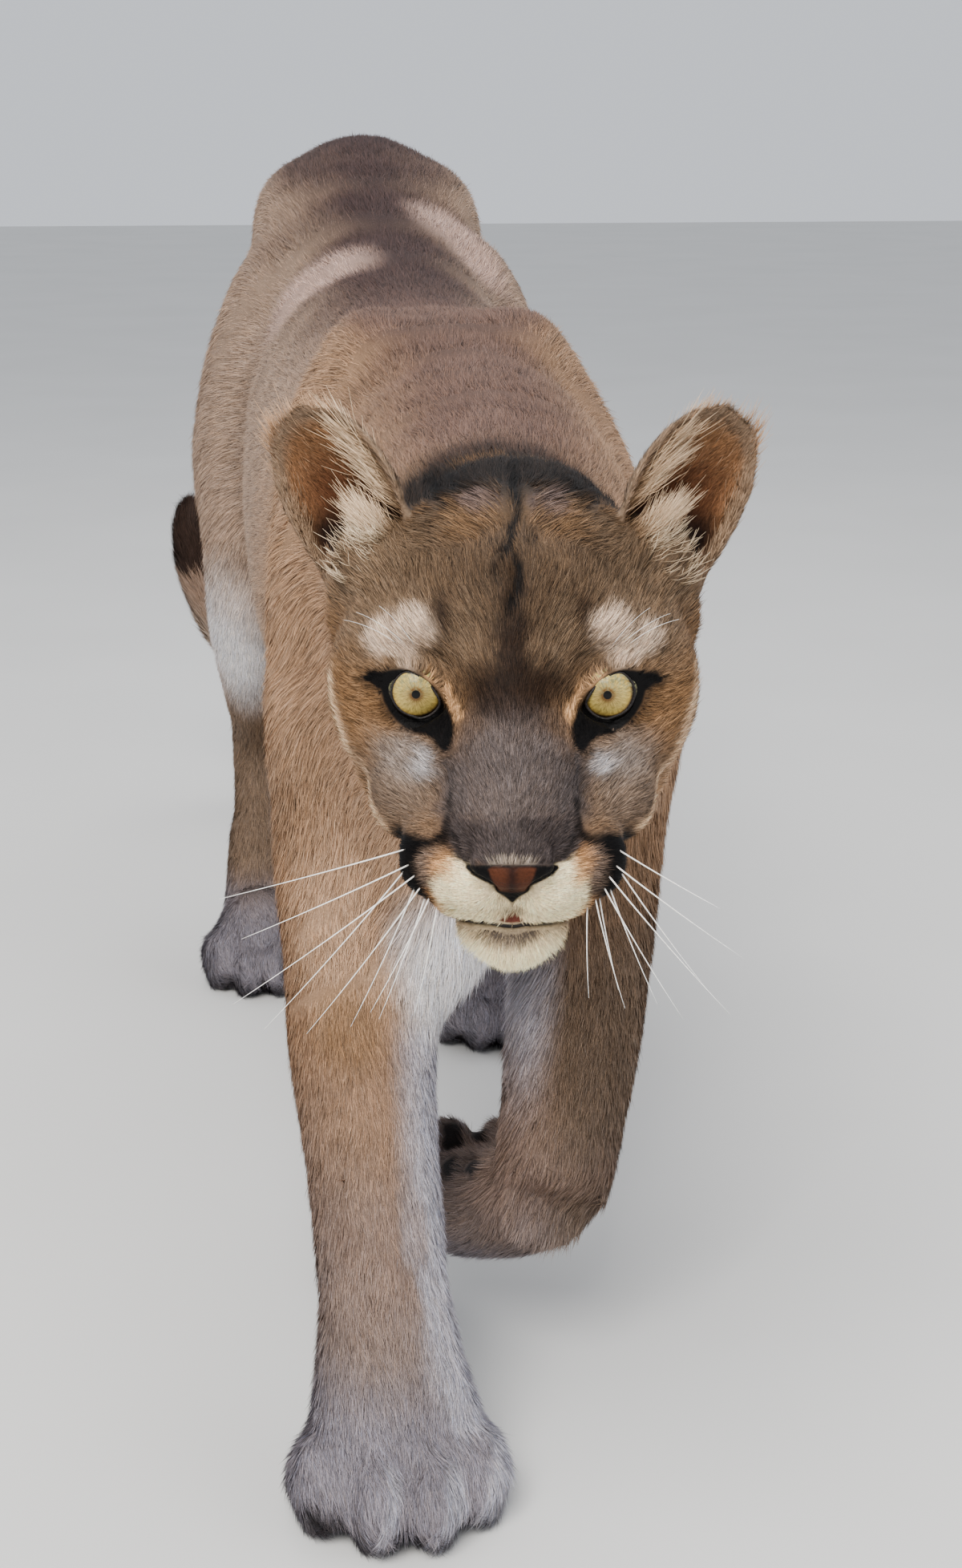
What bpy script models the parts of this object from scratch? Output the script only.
"""A cougar at life size, walking low with its left forepaw lifted.

The animal faces -Y with +X on its left side and +Z up. Its masses are laid out round a skeleton whose
zero is on the floor below the withers, and the finished model is moved so that its origin is at the
middle of its box, on the floor. The masses are blended into one skin, which thin cuts then part into
head, neck, trunk, tail and legs.
"""

import math

import bmesh
import bpy
import numpy as np
from mathutils import Euler, Matrix, Vector
from mathutils.bvhtree import BVHTree

# Clearance between neighbouring pieces
GAP = 0.0003

# A Boolean that fails is tried again with its cutter moved by this much
HAIR = 0.00003
NUDGES = 5

# Fineness of the blended skins: voxel edge, smoothing passes and triangles kept
BODY_GRAIN = (0.0048, 15, 5000)
SKULL_GRAIN = (0.0026, 30, 60000)
HEAD_GRAIN = (0.0016, 5, 4800)
PAW_GRAIN = (0.0024, 5, 700)
EAR_GRAIN = (0.0014, 3, 520)

# Head: place of the point midway between the eyes, and how the head is turned
HEAD_PLACE = Vector((-0.037, -0.504, 0.443))
HEAD_TURN = math.radians(-7.6)
HEAD_DROP = math.radians(9.0)

# Eyes: a ball behind an almond opening that slants down to the nose
EYE_RADIUS = 0.0165
EYE_PLACE = Vector((0.0385, 0.0135, -0.0060))
EYE_TURN_OUT = math.radians(8.0)
LID_THICKNESS = 0.0026
OPENING_HALF_WIDTH = 0.0190
OPENING_HALF_HEIGHT = 0.0112
OPENING_SLANT = math.radians(28.0)
OPENING_REACH = 1.45

# Ears: a rounded cup on a short root
EAR_PLACE = Vector((0.0615, 0.0860, 0.0155))
EAR_LENGTH = 0.080
EAR_HALF_WIDTH = 0.0300
EAR_DEPTH = 0.024
EAR_WALL = 0.0042
EAR_LEAN_OUT = math.radians(19.0)
EAR_LEAN_BACK = math.radians(2.0)
EAR_FACE_OUT = math.radians(22.0)

# Mouth: a groove round the muzzle below the whisker pads
MOUTH_HEIGHT = -0.0615
MOUTH_FALL = 0.0050
MOUTH_GROOVE = 0.0015
MOUTH_HALF_TURN = math.radians(98.0)

# Legs: the joints of each, on the left or the right of the midline
RIGHT_FORE = {
    "blade": Vector((-0.070, 0.005, 0.482)),
    "shoulder": Vector((-0.088, -0.150, 0.375)),
    "elbow": Vector((-0.083, -0.135, 0.270)),
    "wrist": Vector((-0.078, -0.322, 0.095)),
    "paw": Vector((-0.076, -0.376, 0.0)),
}
LEFT_FORE = {
    "blade": Vector((0.040, -0.010, 0.482)),
    "shoulder": Vector((0.070, -0.150, 0.378)),
    "elbow": Vector((0.066, -0.098, 0.262)),
    "wrist": Vector((0.019, -0.258, 0.105)),
    "paw": Vector((-0.020, -0.180, 0.103)),
}
RIGHT_HIND = {
    "hip": Vector((-0.080, 0.535, 0.485)),
    "knee": Vector((-0.112, 0.372, 0.318)),
    "hock": Vector((-0.112, 0.522, 0.158)),
    "heel": Vector((-0.116, 0.430, 0.046)),
    "paw": Vector((-0.117, 0.392, 0.0)),
}
LEFT_HIND = {
    "hip": Vector((0.050, 0.510, 0.480)),
    "knee": Vector((0.078, 0.305, 0.318)),
    "hock": Vector((0.056, 0.415, 0.150)),
    "heel": Vector((0.048, 0.300, 0.046)),
    "paw": Vector((0.045, 0.258, 0.0)),
}

# Paws: widths over the toes, and how far each toe stands forward
FORE_PAW_WIDTH = 0.110
HIND_PAW_WIDTH = 0.092
TOE_PLACES = ((-0.355, -0.012), (-0.125, -0.031), (0.125, -0.031), (0.355, -0.012))

# Way the back of the lifted paw faces
LIFTED_PALM_AWAY = Vector((0.05, -0.10, -1.0))

# Trunk: place along the back, top, bottom, half width and how far the widest line lies above the middle
TRUNK_LINE = -0.015
TRUNK = (
    (-0.262, 0.462, 0.292, 0.050, 0.0),
    (-0.215, 0.506, 0.240, 0.078, 0.0),
    (-0.120, 0.546, 0.224, 0.096, 0.1),
    (0.000, 0.553, 0.224, 0.104, 0.0),
    (0.120, 0.545, 0.228, 0.110, 0.0),
    (0.250, 0.550, 0.240, 0.112, 0.0),
    (0.370, 0.572, 0.266, 0.106, 0.0),
    (0.470, 0.606, 0.304, 0.098, 0.1),
    (0.570, 0.640, 0.340, 0.094, 0.2),
    (0.650, 0.636, 0.376, 0.080, 0.2),
    (0.715, 0.594, 0.430, 0.048, 0.0),
)

# Neck: middle line with half width and half depth, from between the shoulders to the skull
NECK = (
    (-0.014, -0.080, 0.436, 0.088, 0.108),
    (-0.012, -0.170, 0.438, 0.084, 0.102),
    (-0.015, -0.260, 0.442, 0.077, 0.090),
    (-0.024, -0.340, 0.446, 0.070, 0.080),
    (-0.033, -0.400, 0.446, 0.062, 0.068),
)

# Tail: middle line with radius, hanging from the rump and curling up on the right at its tip
TAIL = (
    (-0.015, 0.655, 0.585, 0.044),
    (-0.015, 0.720, 0.556, 0.038),
    (-0.017, 0.795, 0.484, 0.032),
    (-0.022, 0.850, 0.392, 0.0295),
    (-0.034, 0.884, 0.290, 0.028),
    (-0.056, 0.898, 0.195, 0.027),
    (-0.092, 0.892, 0.150, 0.027),
    (-0.130, 0.876, 0.180, 0.027),
    (-0.152, 0.862, 0.240, 0.027),
    (-0.158, 0.856, 0.290, 0.025),
    (-0.159, 0.854, 0.314, 0.014),
)

# Where thin cuts part the skin
NECK_HEAD_CUT = (Vector((-0.030, -0.372, 0.440)), Vector((0.13, 0.98, 0.05)))
NECK_CHEST_CUT = (Vector((0.0, -0.212, 0.440)), Vector((0.02, 0.96, 0.26)))
CHEST_LOIN_CUT = (Vector((0.0, 0.185, 0.4)), Vector((0.0, 1.0, 0.0)))
LOIN_HIP_CUT = (Vector((0.0, 0.420, 0.4)), Vector((0.0, 1.0, 0.0)))
TAIL_CUTS = (1.4, 4.3, 6.5, 8.0)
CORE_SQUARENESS = 0.68
LIMB_CORES = {
    "upper_arm_right": (Vector((-0.108, -0.085, 0.366)), (0.080, 0.098, 0.158), -24.0),
    "upper_arm_left": (Vector((0.080, -0.080, 0.359)), (0.078, 0.098, 0.158), -16.0),
    "thigh_right": (Vector((-0.116, 0.455, 0.400)), (0.082, 0.104, 0.164), -40.0),
    "thigh_left": (Vector((0.090, 0.405, 0.396)), (0.082, 0.104, 0.168), -46.0),
}
STUB_RADIUS = 0.057
STUB_END = {
    "upper_arm_right": (RIGHT_FORE, ("elbow", "wrist"), 0.42),
    "upper_arm_left": (LEFT_FORE, ("elbow", "wrist"), 0.50),
    "thigh_right": (RIGHT_HIND, ("knee", "hock"), 0.42),
    "thigh_left": (LEFT_HIND, ("knee", "hock"), 0.50),
}
LIMB_STUBS = {
    name: (joints[ends[0]], joints[ends[0]].lerp(joints[ends[1]], share))
    for name, (joints, ends, share) in STUB_END.items()
}

# Colour of each kind of node
COAT_COLOUR = (0.300, 0.190, 0.115, 1.0)
TIP_COLOUR = (0.060, 0.040, 0.030, 1.0)
EYE_COLOUR = (0.520, 0.400, 0.120, 1.0)


def clear_scene():
    """Removes whatever the scene holds."""
    for obj in list(bpy.data.objects):
        bpy.data.objects.remove(obj, do_unlink=True)


def linked(name, bm):
    """Puts a bmesh in the scene as an object of that name."""
    mesh = bpy.data.meshes.new(name)
    bm.to_mesh(mesh)
    bm.free()
    obj = bpy.data.objects.new(name, mesh)
    bpy.context.scene.collection.objects.link(obj)
    return obj


def baked(obj):
    """Replaces an object's mesh by what its modifiers make of it."""
    bpy.context.view_layer.update()
    graph = bpy.context.evaluated_depsgraph_get()
    obj.data = bpy.data.meshes.new_from_object(obj.evaluated_get(graph))
    obj.modifiers.clear()
    return obj


def along(stations, steps):
    """A smooth row of values through the stations, by Catmull-Rom."""
    rows = np.array(stations, float)
    ends = np.vstack([2 * rows[0] - rows[1], rows, 2 * rows[-1] - rows[-2]])
    made = []
    for i in range(1, len(ends) - 2):
        a, b, c, d = ends[i - 1 : i + 3]
        for t in np.arange(steps) / steps:
            cubic = (2 * a - 5 * b + 4 * c - d) * t**2 + (3 * b - a - 3 * c + d) * t**3
            made.append(0.5 * (2 * b + (c - a) * t + cubic))
    return np.array([*made, rows[-1]])


def bridge_rings(bm, rings):
    """Joins rows of vertices into a tube and closes its two ends."""
    count = len(rings[0])
    for first, second in zip(rings, rings[1:]):
        for i in range(count):
            j = (i + 1) % count
            bm.faces.new((first[i], first[j], second[j], second[i]))
    bm.faces.new(rings[0][::-1])
    bm.faces.new(rings[-1])


def limb(bm, stations, steps=5, sides=20, frame=Matrix(), across=Vector((1.0, 0.0, 0.0))):
    """A closed tube with oval rings square to its middle line.

    Each station is a place with the ring's half width, along the way across, and its half depth.
    """
    rows = along(stations, steps)
    turned = frame.to_3x3()
    tangents = np.gradient(rows[:, :3], axis=0)
    rings = []
    for row, tangent in zip(rows, tangents):
        way = (turned @ Vector(tangent)).normalized()
        depth = way.cross(turned @ across).normalized()
        width = depth.cross(way).normalized()
        centre = frame @ Vector(row[:3])
        half_width, half_depth = max(row[3], 0.002), max(row[-1], 0.002)
        ring = []
        for i in range(sides):
            turn = 2 * math.pi * i / sides
            offset = width * (half_width * math.cos(turn)) + depth * (half_depth * math.sin(turn))
            ring.append(bm.verts.new(centre + offset))
        rings.append(ring)
    bridge_rings(bm, rings)


def barrel(bm, stations, steps=5, sides=28):
    """The trunk: upright rings whose widest line can lie above or below the middle."""
    rings = []
    for y, top, bottom, half_width, lift in along(stations, steps):
        middle, half_height = (top + bottom) / 2, (top - bottom) / 2
        ring = []
        for i in range(sides):
            turn = 2 * math.pi * i / sides
            rise = math.sin(turn)
            x = TRUNK_LINE + half_width * math.cos(turn) * (1 + lift * rise * 0.5)
            ring.append(bm.verts.new((x, y, middle + half_height * rise)))
        rings.append(ring)
    bridge_rings(bm, rings)


def mass(bm, centre, radii, frame=Matrix(), pitch=0.0, yaw=0.0, roll=0.0, fineness=3):
    """A closed egg of flesh or bone. The angles are in degrees."""
    turn = Euler([math.radians(a) for a in (pitch, roll, yaw)], "XYZ").to_matrix().to_4x4()
    matrix = frame @ Matrix.Translation(centre) @ turn @ Matrix.Diagonal((*radii, 1.0))
    bmesh.ops.create_icosphere(bm, subdivisions=fineness, radius=1.0, matrix=matrix)


def both_sides(bm, centre, radii, frame, pitch=0.0, yaw=0.0, roll=0.0):
    """The same mass on the left and on the right."""
    mass(bm, centre, radii, frame, pitch, yaw, roll)
    mirrored = Vector((-centre[0], centre[1], centre[2]))
    mass(bm, mirrored, radii, frame, pitch, -yaw, -roll)


def head_frame():
    """The head's own frame: its origin between the eyes, its nose at -Y."""
    turn = Matrix.Rotation(HEAD_TURN, 4, "Z") @ Matrix.Rotation(HEAD_DROP, 4, "X")
    return Matrix.Translation(HEAD_PLACE) @ turn


def add_skull(bm, frame):
    """Braincase, brow, cheeks and the muscles of the jaw, blended before the finer parts."""
    mass(bm, (0, 0.078, 0.010), (0.062, 0.072, 0.052), frame)
    mass(bm, (0, 0.106, 0.020), (0.052, 0.056, 0.042), frame)
    mass(bm, (0, 0.044, 0.014), (0.050, 0.052, 0.038), frame, pitch=-24)
    mass(bm, (0, 0.014, 0.000), (0.030, 0.036, 0.024), frame, pitch=-20)
    both_sides(bm, (0.031, 0.025, 0.014), (0.028, 0.028, 0.018), frame, pitch=-18, roll=8)
    both_sides(bm, (0.048, 0.030, 0.006), (0.018, 0.025, 0.017), frame)
    both_sides(bm, (0.053, 0.054, -0.016), (0.025, 0.048, 0.036), frame, yaw=10)
    both_sides(bm, (0.046, 0.028, -0.028), (0.026, 0.032, 0.022), frame, yaw=26)
    both_sides(bm, (0.044, 0.058, -0.045), (0.026, 0.044, 0.036), frame, yaw=8)
    both_sides(bm, (0.036, 0.008, -0.042), (0.022, 0.044, 0.025), frame, yaw=12)
    mass(bm, (0, 0.066, -0.052), (0.044, 0.054, 0.042), frame)
    both_sides(bm, (0.056, 0.090, 0.018), (0.022, 0.030, 0.025), frame, roll=20)
    both_sides(bm, (0.065, 0.092, -0.004), (0.018, 0.026, 0.026), frame)
    both_sides(bm, (0.029, -0.004, -0.025), (0.017, 0.026, 0.016), frame)
    mass(bm, (0, -0.057, -0.062), (0.028, 0.020, 0.013), frame)
    bridge = (
        (0, 0.030, 0.000, 0.036, 0.025),
        (0, -0.010, -0.014, 0.0290, 0.0230),
        (0, -0.045, -0.0260, 0.0250, 0.0200),
        (0, -0.074, -0.0360, 0.0215, 0.0155),
    )
    limb(bm, bridge, frame=frame)
    cheeks = (
        (0, 0.040, -0.042, 0.050, 0.034),
        (0, 0.000, -0.044, 0.043, 0.029),
        (0, -0.040, -0.047, 0.035, 0.022),
        (0, -0.068, -0.049, 0.024, 0.014),
    )
    limb(bm, cheeks, frame=frame)
    both_sides(bm, (0.0240, -0.046, -0.0480), (0.0210, 0.030, 0.0180), frame, yaw=14, pitch=-4)
    both_sides(bm, (0.0150, -0.066, -0.0490), (0.0165, 0.0175, 0.0145), frame)
    jaw = (
        (0, 0.070, -0.066, 0.048, 0.028),
        (0, 0.025, -0.070, 0.040, 0.024),
        (0, -0.020, -0.074, 0.030, 0.019),
        (0, -0.050, -0.0755, 0.0240, 0.0170),
        (0, -0.068, -0.0735, 0.0205, 0.0140),
    )
    limb(bm, jaw, frame=frame)


def add_muzzle(bm, frame):
    """Whisker pads, nose and chin over the blended skull."""
    both_sides(bm, (0.0262, -0.047, -0.0505), (0.0178, 0.027, 0.0185), frame, yaw=16, pitch=-4)
    both_sides(bm, (0.0195, -0.0635, -0.0560), (0.0150, 0.0170, 0.0140), frame, yaw=12)
    both_sides(bm, (0.0125, -0.0735, -0.0515), (0.0140, 0.0150, 0.0125), frame, yaw=10)
    tip = (
        (0, -0.058, -0.0310, 0.0185, 0.0150),
        (0, -0.080, -0.0375, 0.0160, 0.0125),
        (0, -0.090, -0.0400, 0.0120, 0.0085),
    )
    limb(bm, tip, frame=frame)
    mass(bm, (0, -0.0880, -0.0380), (0.0150, 0.0078, 0.0074), frame, pitch=24)
    both_sides(bm, (0.0100, -0.0860, -0.0370), (0.0066, 0.0080, 0.0062), frame)
    mass(bm, (0, -0.0625, -0.0770), (0.0245, 0.0180, 0.0150), frame)
    mass(bm, (0, -0.0660, -0.0690), (0.0215, 0.0140, 0.0085), frame)


def add_eye_bulges(bm, frame):
    """The lids' bulge over each eyeball."""
    radius = EYE_RADIUS + LID_THICKNESS
    for side in (-1, 1):
        centre = Vector((side * EYE_PLACE.x, EYE_PLACE.y, EYE_PLACE.z))
        mass(bm, centre, (radius, radius, radius), frame)


def add_neck(bm):
    """The neck and the loose skin of the throat."""
    limb(bm, NECK)
    mass(bm, (-0.020, -0.300, 0.400), (0.052, 0.085, 0.056), pitch=-6)


def add_trunk(bm):
    """Trunk, breast, withers and rump."""
    barrel(bm, TRUNK)
    mass(bm, (TRUNK_LINE, -0.180, 0.345), (0.076, 0.080, 0.108), pitch=-16)
    for side in (-1, 1):
        across = TRUNK_LINE + side * 0.036
        mass(bm, (across, -0.020, 0.510), (0.036, 0.088, 0.046), pitch=-14, roll=side * 16)
        mass(bm, (TRUNK_LINE + side * 0.048, 0.560, 0.560), (0.046, 0.110, 0.062), pitch=8)
        mass(bm, (TRUNK_LINE + side * 0.044, 0.660, 0.530), (0.042, 0.062, 0.076))
        mass(bm, (TRUNK_LINE + side * 0.046, 0.648, 0.470), (0.044, 0.062, 0.092), pitch=14)


def add_foreleg(bm, joints, side):
    """Shoulder blade, upper arm and forearm down to the wrist."""
    blade, shoulder, elbow, wrist = (joints[n] for n in ("blade", "shoulder", "elbow", "wrist"))
    limb(bm, ((*blade, 0.036, 0.075), (*blade.lerp(shoulder, 0.55), 0.042, 0.072),
              (*shoulder, 0.038, 0.056)))
    triceps = blade.lerp(elbow, 0.58) + Vector((0.0, 0.022, 0.0))
    mass(bm, triceps, (0.040, 0.062, 0.092), pitch=-10)
    limb(bm, ((*shoulder, 0.038, 0.058), (*shoulder.lerp(elbow, 0.5), 0.042, 0.056),
              (*elbow, 0.037, 0.045)))
    inward = Vector((-side * 0.004, 0.0, 0.0))
    forearm = (
        (*(elbow + Vector((0.0, 0.012, 0.012))), 0.044, 0.050),
        (*(elbow.lerp(wrist, 0.22) + inward), 0.0460, 0.0480),
        (*elbow.lerp(wrist, 0.55), 0.0410, 0.0400),
        (*elbow.lerp(wrist, 0.85), 0.0355, 0.0335),
        (*wrist, 0.0345, 0.0320),
    )
    limb(bm, forearm)
    mass(bm, elbow + Vector((0.0, 0.030, 0.004)), (0.024, 0.024, 0.026))


def add_hindleg(bm, joints, side):
    """Thigh, shank and the long foot down to the toes' roots."""
    hip, knee, hock, heel = (joints[n] for n in ("hip", "knee", "hock", "heel"))
    outward = Vector((side * 0.010, 0.0, 0.0))
    limb(bm, ((*(hip + Vector((0, 0.010, 0.030))), 0.052, 0.095),
              (*(hip.lerp(knee, 0.42) + outward), 0.056, 0.098),
              (*(hip.lerp(knee, 0.78) + outward * 0.6), 0.046, 0.068), (*knee, 0.038, 0.044)))
    hamstring = hip.lerp(hock, 0.32) + Vector((side * 0.008, 0.034, 0.0))
    mass(bm, hamstring, (0.044, 0.068, 0.108), pitch=10)
    shank = (
        (*(knee + Vector((0.0, 0.006, 0.018))), 0.042, 0.050),
        (*(knee.lerp(hock, 0.26) + Vector((0.0, 0.012, 0.006))), 0.041, 0.052),
        (*knee.lerp(hock, 0.58), 0.031, 0.037),
        (*knee.lerp(hock, 0.86), 0.024, 0.028),
        (*hock, 0.0235, 0.0280),
    )
    limb(bm, shank)
    heel_bone = hock + Vector((0.0, 0.012, 0.006))
    foot = (
        (*heel_bone, 0.0215, 0.0215),
        (*hock.lerp(heel, 0.25), 0.0235, 0.0250),
        (*hock.lerp(heel, 0.65), 0.0260, 0.0230),
        (*heel, 0.0300, 0.0240),
    )
    limb(bm, foot)


def planted_frame(joints):
    """Frame of a planted paw: on the floor, its toes at -Y."""
    return Matrix.Translation(joints["paw"])


def lifted_frame(joints):
    """Frame of the lifted paw: folded back from the wrist with its palm up."""
    heelward = (joints["wrist"] - joints["paw"]).normalized()
    side = heelward.cross(LIFTED_PALM_AWAY).normalized()
    up = side.cross(heelward).normalized()
    turned = Matrix((side, heelward, up)).transposed()
    return Matrix.Translation(joints["paw"]) @ turned.to_4x4()


def add_paw(bm, frame, width, root):
    """Back of the paw, four toes and the pads below, in the paw's own frame.

    root is the place of the wrist or heel, in the world.
    """
    inner = frame.inverted() @ root
    thick = width / FORE_PAW_WIDTH
    back = (
        (*inner, 0.0335 * thick, 0.0300 * thick),
        (*inner.lerp(Vector((0, 0.004, 0.036)), 0.55), 0.038 * thick, 0.031),
        (0, 0.000, 0.034, 0.42 * width, 0.028),
        (0, -0.024, 0.027, 0.39 * width, 0.022),
    )
    limb(bm, back, frame=frame)
    for across, ahead in TOE_PLACES:
        toe = Vector((across * width, ahead, 0.0225))
        mass(bm, toe, (0.155 * width, 0.029, 0.0225), frame, pitch=6, yaw=-across * 30)
        mass(bm, toe + Vector((0, -0.006, -0.0145)), (0.110 * width, 0.016, 0.0095), frame)
    mass(bm, (0, 0.012, 0.0095), (0.29 * width, 0.019, 0.0120), frame)


def add_tail(bm):
    """The tail, one smooth length."""
    limb(bm, TAIL, steps=6, sides=16)


def add_flesh(bm, frame):
    """Every mass of the animal that the whole skin blends."""
    add_trunk(bm)
    add_neck(bm)
    add_foreleg(bm, RIGHT_FORE, -1)
    add_foreleg(bm, LEFT_FORE, 1)
    add_hindleg(bm, RIGHT_HIND, -1)
    add_hindleg(bm, LEFT_HIND, 1)
    add_tail(bm)
    for name, (paw, width, root) in paws().items():
        add_paw(bm, paw, width, root)


def paws():
    """Each paw's frame, width and the joint that carries it."""
    return {
        "forepaw_right": (planted_frame(RIGHT_FORE), FORE_PAW_WIDTH, RIGHT_FORE["wrist"]),
        "forepaw_left": (lifted_frame(LEFT_FORE), FORE_PAW_WIDTH * 0.92, LEFT_FORE["wrist"]),
        "hindpaw_right": (planted_frame(RIGHT_HIND), HIND_PAW_WIDTH, RIGHT_HIND["heel"]),
        "hindpaw_left": (planted_frame(LEFT_HIND), HIND_PAW_WIDTH, LEFT_HIND["heel"]),
    }


def sculpted(name, bm, grain):
    """Blends overlapping masses into one smooth closed skin of few triangles."""
    voxel, passes, triangles = grain
    obj = linked(name, bm)
    remesh = obj.modifiers.new("Blend", "REMESH")
    remesh.mode = "VOXEL"
    remesh.voxel_size = voxel
    smooth = obj.modifiers.new("Smooth", "SMOOTH")
    smooth.factor = 0.5
    smooth.iterations = passes
    baked(obj)
    thin = obj.modifiers.new("Thin", "DECIMATE")
    thin.ratio = min(1.0, triangles / (2 * len(obj.data.polygons)))
    thin.use_collapse_triangulate = True
    return baked(obj)


def cut(bm, point, normal):
    """Cuts away what lies on the normal's side of a plane and closes the hole."""
    geometry = bm.verts[:] + bm.edges[:] + bm.faces[:]
    bmesh.ops.bisect_plane(bm, geom=geometry, plane_co=point, plane_no=normal, clear_outer=True)
    rim = [edge for edge in bm.edges if edge.is_boundary]
    if rim:
        bmesh.ops.triangle_fill(bm, edges=rim, use_beauty=True, normal=normal)


def islands(bm):
    """The separate closed pieces of a bmesh, as sets of vertices."""
    left, found = set(bm.verts), []
    while left:
        piece, edge_of = set(), [left.pop()]
        while edge_of:
            vertex = edge_of.pop()
            piece.add(vertex)
            for edge in vertex.link_edges:
                other = edge.other_vert(vertex)
                if other in left:
                    left.discard(other)
                    edge_of.append(other)
        found.append(piece)
    return found


def keep_piece(bm, seed=None):
    """Keeps the separate piece nearest to the seed, or the largest one."""
    pieces = islands(bm)
    if seed is None:
        kept = max(pieces, key=len)
    else:
        kept = min(pieces, key=lambda piece: min((v.co - seed).length for v in piece))
    bmesh.ops.delete(bm, geom=[v for v in bm.verts if v not in kept], context="VERTS")


def parted(name, source, planes, seed=None):
    """A node: what the planes leave of a copy of the source, on the seed's side.

    Each plane is a point, a normal towards what is cut away, half the gap nearer than stated.
    """
    bm = bmesh.new()
    bm.from_mesh(source.data)
    for point, normal in planes:
        way = normal.normalized()
        cut(bm, point - way * (GAP / 2), way)
    keep_piece(bm, seed)
    bmesh.ops.recalc_face_normals(bm, faces=bm.faces)
    return linked(name, bm)


def flipped(plane):
    """The same plane, cutting the other side."""
    point, normal = plane
    return point, -normal


def combined(obj, other, operation):
    """Applies a Boolean with another object, which is then removed.

    A cut that loses most of the piece is tried again with its cutter nudged by a hair.
    """
    whole = obj.data
    for nudge in range(NUDGES):
        obj.data = whole
        boolean = obj.modifiers.new(operation.title(), "BOOLEAN")
        boolean.object = other
        boolean.operation = operation
        boolean.solver = "EXACT"
        baked(obj)
        if operation == "INTERSECT" or len(obj.data.polygons) > 0.6 * len(whole.polygons):
            break
        other.data.transform(Matrix.Translation((HAIR, HAIR * nudge, -HAIR)))
    bpy.data.objects.remove(other, do_unlink=True)
    return obj


def limb_core(name, extra):
    """The egg that parts an upper leg from the trunk."""
    centre, radii, pitch = LIMB_CORES[name]
    bm = bmesh.new()
    bmesh.ops.create_icosphere(bm, subdivisions=2, radius=1.0)
    for vertex in bm.verts:
        vertex.co = [math.copysign(abs(c) ** CORE_SQUARENESS, c) for c in vertex.co]
    turn = Matrix.Rotation(math.radians(pitch), 4, "X")
    size = Matrix.Diagonal((*[r + extra for r in radii], 1.0))
    bm.transform(Matrix.Translation(centre) @ turn @ size)
    core = linked("core_" + name, bm)
    start, end = LIMB_STUBS[name]
    way = (end - start).normalized()
    length = (end - start).length + 2 * extra
    turn = way.to_track_quat("Z", "Y").to_matrix().to_4x4()
    place = Matrix.Translation((start + end) / 2) @ turn
    bm = bmesh.new()
    radius = STUB_RADIUS + extra
    bmesh.ops.create_cone(bm, segments=24, radius1=radius, radius2=radius, depth=length,
                          cap_ends=True, matrix=place)
    return combined(core, linked("stub", bm), "UNION")


def part_body(body):
    """Parts the blended body into trunk, neck, tail and the upper and lower legs."""
    nodes = []
    for name in LIMB_CORES:
        upper = combined(linked(name, copied(body)), limb_core(name, 0.0), "INTERSECT")
        tidy_piece(upper)
        nodes.append(upper)
    rest = body
    for name in LIMB_CORES:
        combined(rest, limb_core(name, GAP), "DIFFERENCE")
    nodes += part_legs(rest)
    nodes += part_trunk(rest)
    nodes += part_tail(rest)
    return nodes


def copied(obj):
    """A bmesh copy of an object's mesh."""
    bm = bmesh.new()
    bm.from_mesh(obj.data)
    return bm


def tidy_piece(obj, seed=None):
    """Keeps one closed piece of an object, with its faces pointing out."""
    bm = copied(obj)
    keep_piece(bm, seed)
    bmesh.ops.recalc_face_normals(bm, faces=bm.faces)
    bm.to_mesh(obj.data)
    bm.free()


def leg_plane(joints, share, root, tip):
    """A plane across a leg, at a share of the way from one joint to the next."""
    start, end = joints[root], joints[tip]
    return start.lerp(end, share), (end - start).normalized()


def folded_plane(joints):
    """A plane through a bent wrist, halfway between the forearm and the paw."""
    arm = (joints["wrist"] - joints["elbow"]).normalized()
    paw = (joints["paw"] - joints["wrist"]).normalized()
    return joints["wrist"] - arm * 0.004, (arm + paw).normalized()


def part_legs(rest):
    """Forearms, shanks and feet."""
    nodes = []
    wrists = {
        "right": (RIGHT_FORE, leg_plane(RIGHT_FORE, 0.86, "elbow", "wrist")),
        "left": (LEFT_FORE, folded_plane(LEFT_FORE)),
    }
    for side, (joints, plane) in wrists.items():
        seed = joints["elbow"].lerp(joints["wrist"], 0.6)
        nodes.append(parted("forearm_" + side, rest, [plane], seed))
        nodes.append(fine_paw("forepaw_" + side, joints, plane))
    for side, joints in (("right", RIGHT_HIND), ("left", LEFT_HIND)):
        ankle = leg_plane(joints, 0.80, "knee", "hock")
        toes = leg_plane(joints, 0.62, "hock", "heel")
        shank_seed = joints["knee"].lerp(joints["hock"], 0.6)
        foot_seed = joints["hock"].lerp(joints["heel"], 0.4)
        nodes.append(parted("shank_" + side, rest, [ankle], shank_seed))
        nodes.append(parted("hind_foot_" + side, rest, [flipped(ankle), toes], foot_seed))
        nodes.append(fine_paw("hindpaw_" + side, joints, toes))
    return nodes


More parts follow.
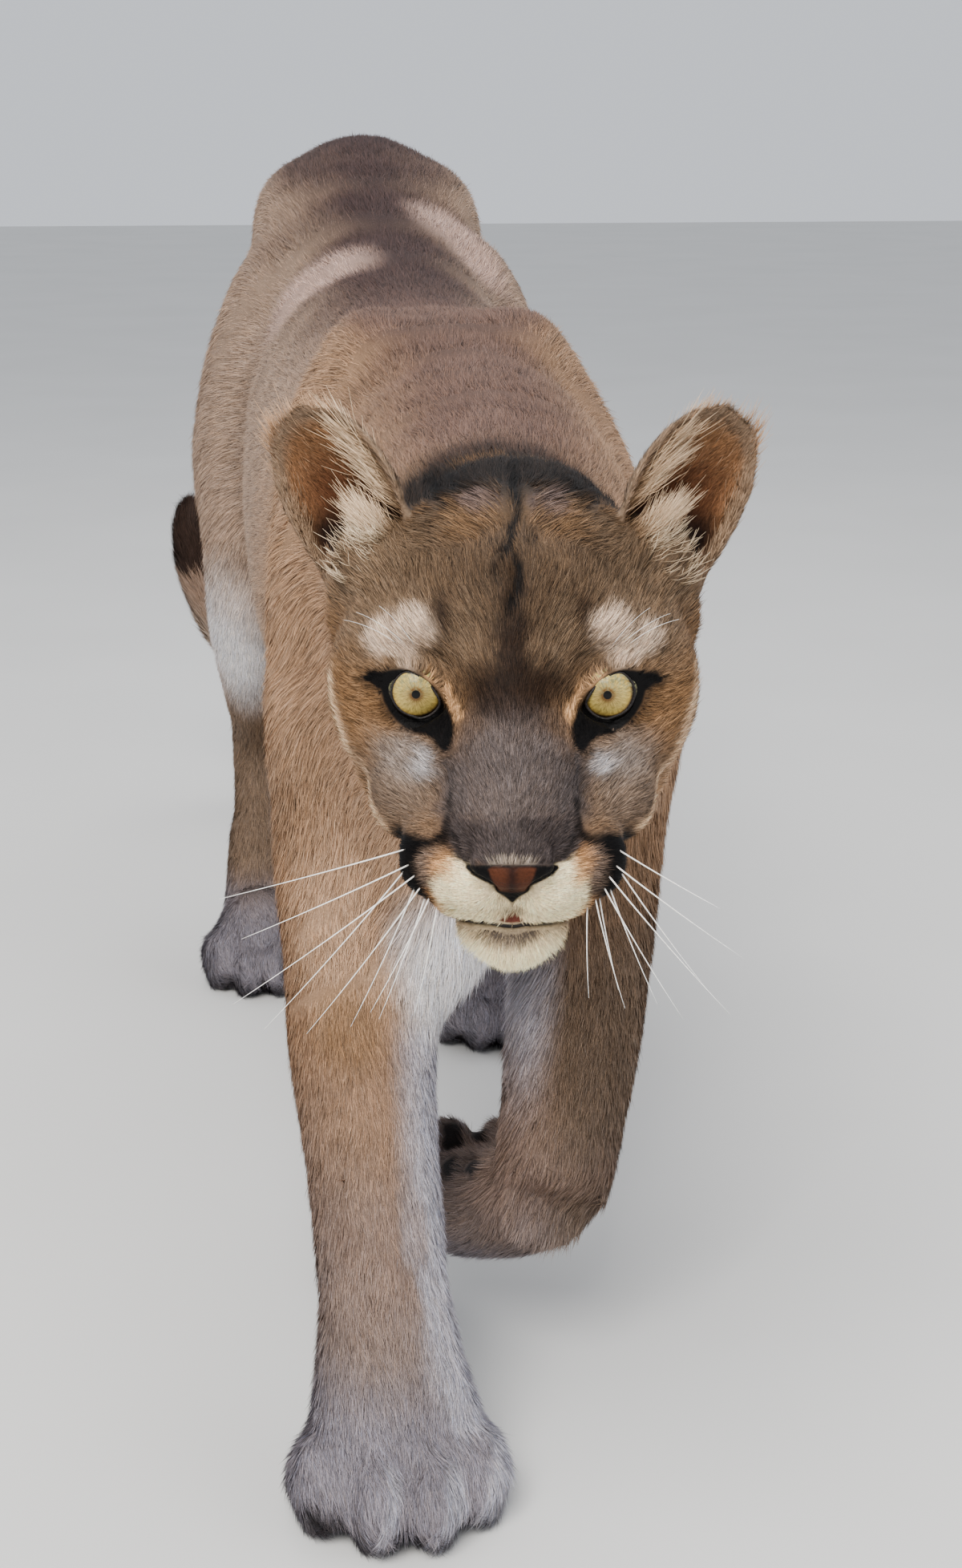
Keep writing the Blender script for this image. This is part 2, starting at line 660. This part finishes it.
def fine_paw(name, joints, plane):
    """A paw with its toes, cut from the leg and flat where it stands."""
    bm = bmesh.new()
    frame, width, root = paws()[name]
    add_paw(bm, frame, width, root)
    side = -1 if name.endswith("right") else 1
    if name.startswith("fore"):
        add_foreleg(bm, joints, side)
    else:
        add_hindleg(bm, joints, side)
    whole = sculpted("whole_" + name, bm, PAW_GRAIN)
    floor = (Vector((0, 0, GAP / 2)), Vector((0, 0, -1)))
    planes = [flipped(plane)]
    if root.z < 0.11:
        planes.append(floor)
    node = parted(name, whole, planes, frame @ Vector((0, -0.03, 0.02)))
    bpy.data.objects.remove(whole, do_unlink=True)
    return node


def part_trunk(rest):
    """Neck, chest, loins and hips."""
    rump = tail_plane(TAIL_CUTS[0])
    return [
        parted("neck", rest, [flipped(NECK_HEAD_CUT), NECK_CHEST_CUT], Vector(NECK[2][:3])),
        parted("chest", rest, [flipped(NECK_CHEST_CUT), CHEST_LOIN_CUT], Vector((0, 0.10, 0.55))),
        parted("loins", rest, [flipped(CHEST_LOIN_CUT), LOIN_HIP_CUT], Vector((0, 0.30, 0.55))),
        parted("hips", rest, [flipped(LOIN_HIP_CUT), rump], Vector((0, 0.52, 0.61))),
    ]


def tail_plane(place):
    """A plane across the tail at a place counted in stations."""
    rows = along(TAIL, 20)
    index = int(place * 20)
    point = Vector(rows[index][:3])
    return point, (Vector(rows[index + 1][:3]) - point).normalized()


def part_tail(rest):
    """The tail in four lengths."""
    nodes = []
    names = ("tail_root", "tail_upper", "tail_bend", "tail_tip")
    rows = along(TAIL, 20)
    for i, name in enumerate(names):
        planes = [flipped(tail_plane(TAIL_CUTS[i]))]
        end = TAIL_CUTS[i + 1] if i + 1 < len(TAIL_CUTS) else len(TAIL) - 1
        if i + 1 < len(TAIL_CUTS):
            planes.append(tail_plane(end))
        middle = rows[int((TAIL_CUTS[i] + end) / 2 * 20)]
        nodes.append(parted(name, rest, planes, Vector(middle[:3])))
    return nodes


def almond(frame, side):
    """The cutter of an eye's opening: an almond that widens outwards from the eyeball's middle."""
    bm = bmesh.new()
    eye = Vector((side * EYE_PLACE.x, EYE_PLACE.y, EYE_PLACE.z))
    turn = Matrix.Rotation(side * EYE_TURN_OUT, 4, "Z") @ Matrix.Rotation(-side * OPENING_SLANT, 4, "Y")
    local = frame @ Matrix.Translation(eye) @ turn
    sides = 28
    rim = []
    for i in range(sides):
        turn_by = 2 * math.pi * i / sides
        across = math.cos(turn_by)
        rise = math.sin(turn_by)
        lid = abs(rise) ** 1.25 * math.copysign(1.0, rise)
        inner = max(0.0, -side * across)
        wide = OPENING_HALF_WIDTH * (1.0 - 0.12 * inner) * across
        reach = OPENING_REACH - 0.22 * inner
        rim.append((Vector((wide, -EYE_RADIUS, OPENING_HALF_HEIGHT * lid)), reach))
    near = [bm.verts.new(local @ (0.25 * p)) for p, reach in rim]
    far = [bm.verts.new(local @ (reach * p)) for p, reach in rim]
    bridge_rings(bm, [near, far])
    bmesh.ops.recalc_face_normals(bm, faces=bm.faces)
    return linked("almond", bm)


def eyeball(name, frame, side, radius, rings=12):
    """An eyeball, or the hollow that holds it."""
    bm = bmesh.new()
    eye = Vector((side * EYE_PLACE.x, EYE_PLACE.y, EYE_PLACE.z))
    matrix = frame @ Matrix.Translation(eye) @ Matrix.Rotation(math.radians(90), 4, "X")
    bmesh.ops.create_uvsphere(bm, u_segments=20, v_segments=rings, radius=radius, matrix=matrix)
    return linked(name, bm)


def groove(name, points, radius, across, sides=8):
    """A round cutter along a row of points."""
    bm = bmesh.new()
    rows = [(*p, radius, radius) for p in points]
    limb(bm, rows, steps=1, sides=sides, across=across)
    bmesh.ops.recalc_face_normals(bm, faces=bm.faces)
    return linked(name, bm)


def mouth_line(skin, frame):
    """Points on the muzzle along the closed mouth, from its left corner to its right one."""
    tree = BVHTree.FromObject(skin, bpy.context.evaluated_depsgraph_get())
    points = []
    for share in np.linspace(-1, 1, 23):
        turn = share * MOUTH_HALF_TURN
        height = MOUTH_HEIGHT - MOUTH_FALL * min(1.0, abs(share) * 1.6) ** 2
        way = Vector((math.sin(turn), -math.cos(turn), 0.0))
        start = frame @ (Vector((0, -0.030, height)) + way * 0.1)
        hit = tree.ray_cast(start, frame.to_3x3() @ -way)[0]
        points.append(hit)
    return points


def philtrum_line(skin, frame):
    """Points on the muzzle from below the nose to the mouth."""
    tree = BVHTree.FromObject(skin, bpy.context.evaluated_depsgraph_get())
    way = frame.to_3x3() @ Vector((0, 1, 0))
    heights = np.linspace(-0.0450, -0.0535, 4)
    return [tree.ray_cast(frame @ Vector((0, -0.15, h)), way)[0] for h in heights]


def nostril(frame, side):
    """The cutter of one nostril: a comma that opens sideways."""
    bm = bmesh.new()
    mass(bm, (side * 0.0070, -0.0950, -0.0400), (0.0030, 0.0060, 0.0026), frame, yaw=side * 30,
         fineness=2)
    hole = linked("nostril", bm)
    bm = bmesh.new()
    mass(bm, (side * 0.0115, -0.0925, -0.0385), (0.0046, 0.0052, 0.0013), frame, yaw=side * 30,
         roll=side * 14, fineness=2)
    return combined(hole, linked("slit", bm), "UNION")


def make_head(frame):
    """The head with its eye openings, mouth, philtrum and nostrils, and the two eyeballs."""
    bm = bmesh.new()
    add_skull(bm, frame)
    add_neck(bm)
    base = sculpted("skull", bm, SKULL_GRAIN)
    bm = copied(base)
    bpy.data.objects.remove(base, do_unlink=True)
    add_muzzle(bm, frame)
    add_eye_bulges(bm, frame)
    skin = sculpted("head_skin", bm, HEAD_GRAIN)
    mouth = mouth_line(skin, frame)
    philtrum = philtrum_line(skin, frame)
    head = parted("head", skin, [NECK_HEAD_CUT], HEAD_PLACE)
    bpy.data.objects.remove(skin, do_unlink=True)
    upright, sideways = Vector((0.0, 0.0, 1.0)), Vector((1.0, 0.0, 0.0))
    combined(head, groove("mouth", mouth, MOUTH_GROOVE, upright), "DIFFERENCE")
    combined(head, groove("philtrum", philtrum, MOUTH_GROOVE * 0.55, sideways, 6), "DIFFERENCE")
    eyes = []
    for side, name in ((-1, "eye_right"), (1, "eye_left")):
        combined(head, nostril(frame, side), "DIFFERENCE")
        combined(head, almond(frame, side), "DIFFERENCE")
        combined(head, eyeball("socket", frame, side, EYE_RADIUS + GAP), "DIFFERENCE")
        eyes.append(eyeball(name, frame, side, EYE_RADIUS, 10))
    tidy_piece(head)
    return head, eyes


def ear_frame(frame, side):
    """Frame of an ear: its length along +Z, its open side at -Y."""
    place = Vector((side * EAR_PLACE.x, EAR_PLACE.y, EAR_PLACE.z))
    lean = Matrix.Rotation(side * EAR_LEAN_OUT, 4, "Y") @ Matrix.Rotation(-EAR_LEAN_BACK, 4, "X")
    face = Matrix.Rotation(side * EAR_FACE_OUT, 4, "Z")
    return frame @ Matrix.Translation(place) @ lean @ face


def cup(bm, local, wall, low, side):
    """A scoop: rows from the root to the rounded tip, each an arc open to the front."""
    rows, columns = 14, 14
    outer, inner = [], []
    for i in range(rows + 1):
        up = i / rows
        height = low + (EAR_LENGTH - low) * up
        share = max(0.0, height / EAR_LENGTH)
        round_off = math.sqrt(max(0.0, 1 - max(0.0, (share - 0.42) / 0.58) ** 2.3))
        half = EAR_HALF_WIDTH * (0.80 + 0.20 * math.sin(min(1.0, share / 0.5) * math.pi / 2))
        half = max(half * round_off, 0.0012)
        deep = EAR_DEPTH * (1.0 - 0.62 * share) * (0.35 + 0.65 * round_off)
        for ring, inset in ((outer, 0.0), (inner, wall)):
            row = []
            for j in range(columns + 1):
                turn = math.pi * (j / columns)
                x = -math.cos(turn) * max(half - inset, 0.0006)
                y = math.sin(turn) * max(deep - inset, 0.0003) - 0.004 * share
                rise = height - inset * 0.9 * max(0.0, share - 0.5)
                row.append(bm.verts.new(local @ Vector((x, y, rise))))
            ring.append(row)
    for grid, flip in ((outer, False), (inner, True)):
        for a, b in zip(grid, grid[1:]):
            for j in range(columns):
                corners = (a[j], a[j + 1], b[j + 1], b[j])
                bm.faces.new(corners[::-1] if flip else corners)
    for a, b, c, d in zip(outer, outer[1:], inner, inner[1:]):
        bm.faces.new((a[0], b[0], d[0], c[0]))
        bm.faces.new((a[-1], c[-1], d[-1], b[-1]))
    for j in range(columns):
        bm.faces.new((outer[0][j], inner[0][j], inner[0][j + 1], outer[0][j + 1]))
        bm.faces.new((outer[-1][j], outer[-1][j + 1], inner[-1][j + 1], inner[-1][j]))
    bmesh.ops.recalc_face_normals(bm, faces=bm.faces)


def make_ear(name, frame, side, head):
    """An ear's cup, cut where it stands on the head and set a gap above it."""
    bm = bmesh.new()
    local = ear_frame(frame, side)
    cup(bm, local, EAR_WALL, -0.020, side)
    mass(bm, (0, 0.006, -0.004), (0.027, 0.017, 0.016), local)
    ear = sculpted(name, bm, EAR_GRAIN)
    other = linked("head_copy", copied(head))
    combined(ear, other, "DIFFERENCE")
    tidy_piece(ear, local @ Vector((0, 0, EAR_LENGTH)))
    lift = (local.to_3x3() @ Vector((0, -0.2, 1.0))).normalized() * (GAP * 1.4)
    ear.data.transform(Matrix.Translation(lift))
    return ear


def finish(nodes):
    """Moves the animal to its own origin and colours its nodes."""
    corners = np.vstack([np.array([v.co[:] for v in o.data.vertices]) for o in nodes])
    low, high = corners.min(axis=0), corners.max(axis=0)
    shift = Vector((-(low[0] + high[0]) / 2, -(low[1] + high[1]) / 2, -low[2]))
    for node in nodes:
        node.data.transform(Matrix.Translation(shift))
        node.data.shade_smooth()
        colour = COAT_COLOUR
        if node.name.startswith("eye"):
            colour = EYE_COLOUR
        elif node.name == "tail_tip":
            colour = TIP_COLOUR
        paint(node, colour)


def paint(node, colour):
    """Gives a node its own material of that colour."""
    material = bpy.data.materials.new(node.name)
    material.use_nodes = True
    shader = material.node_tree.nodes["Principled BSDF"]
    shader.inputs["Base Color"].default_value = colour
    shader.inputs["Roughness"].default_value = 0.3 if colour == EYE_COLOUR else 0.85
    node.data.materials.clear()
    node.data.materials.append(material)


def main():
    """Builds the animal."""
    clear_scene()
    frame = head_frame()
    head, eyes = make_head(frame)
    ears = [make_ear("ear_right", frame, -1, head), make_ear("ear_left", frame, 1, head)]
    bm = bmesh.new()
    add_flesh(bm, frame)
    body = sculpted("body", bm, BODY_GRAIN)
    nodes = [head, *eyes, *ears, *part_body(body)]
    bpy.data.objects.remove(body, do_unlink=True)
    finish(nodes)


main()
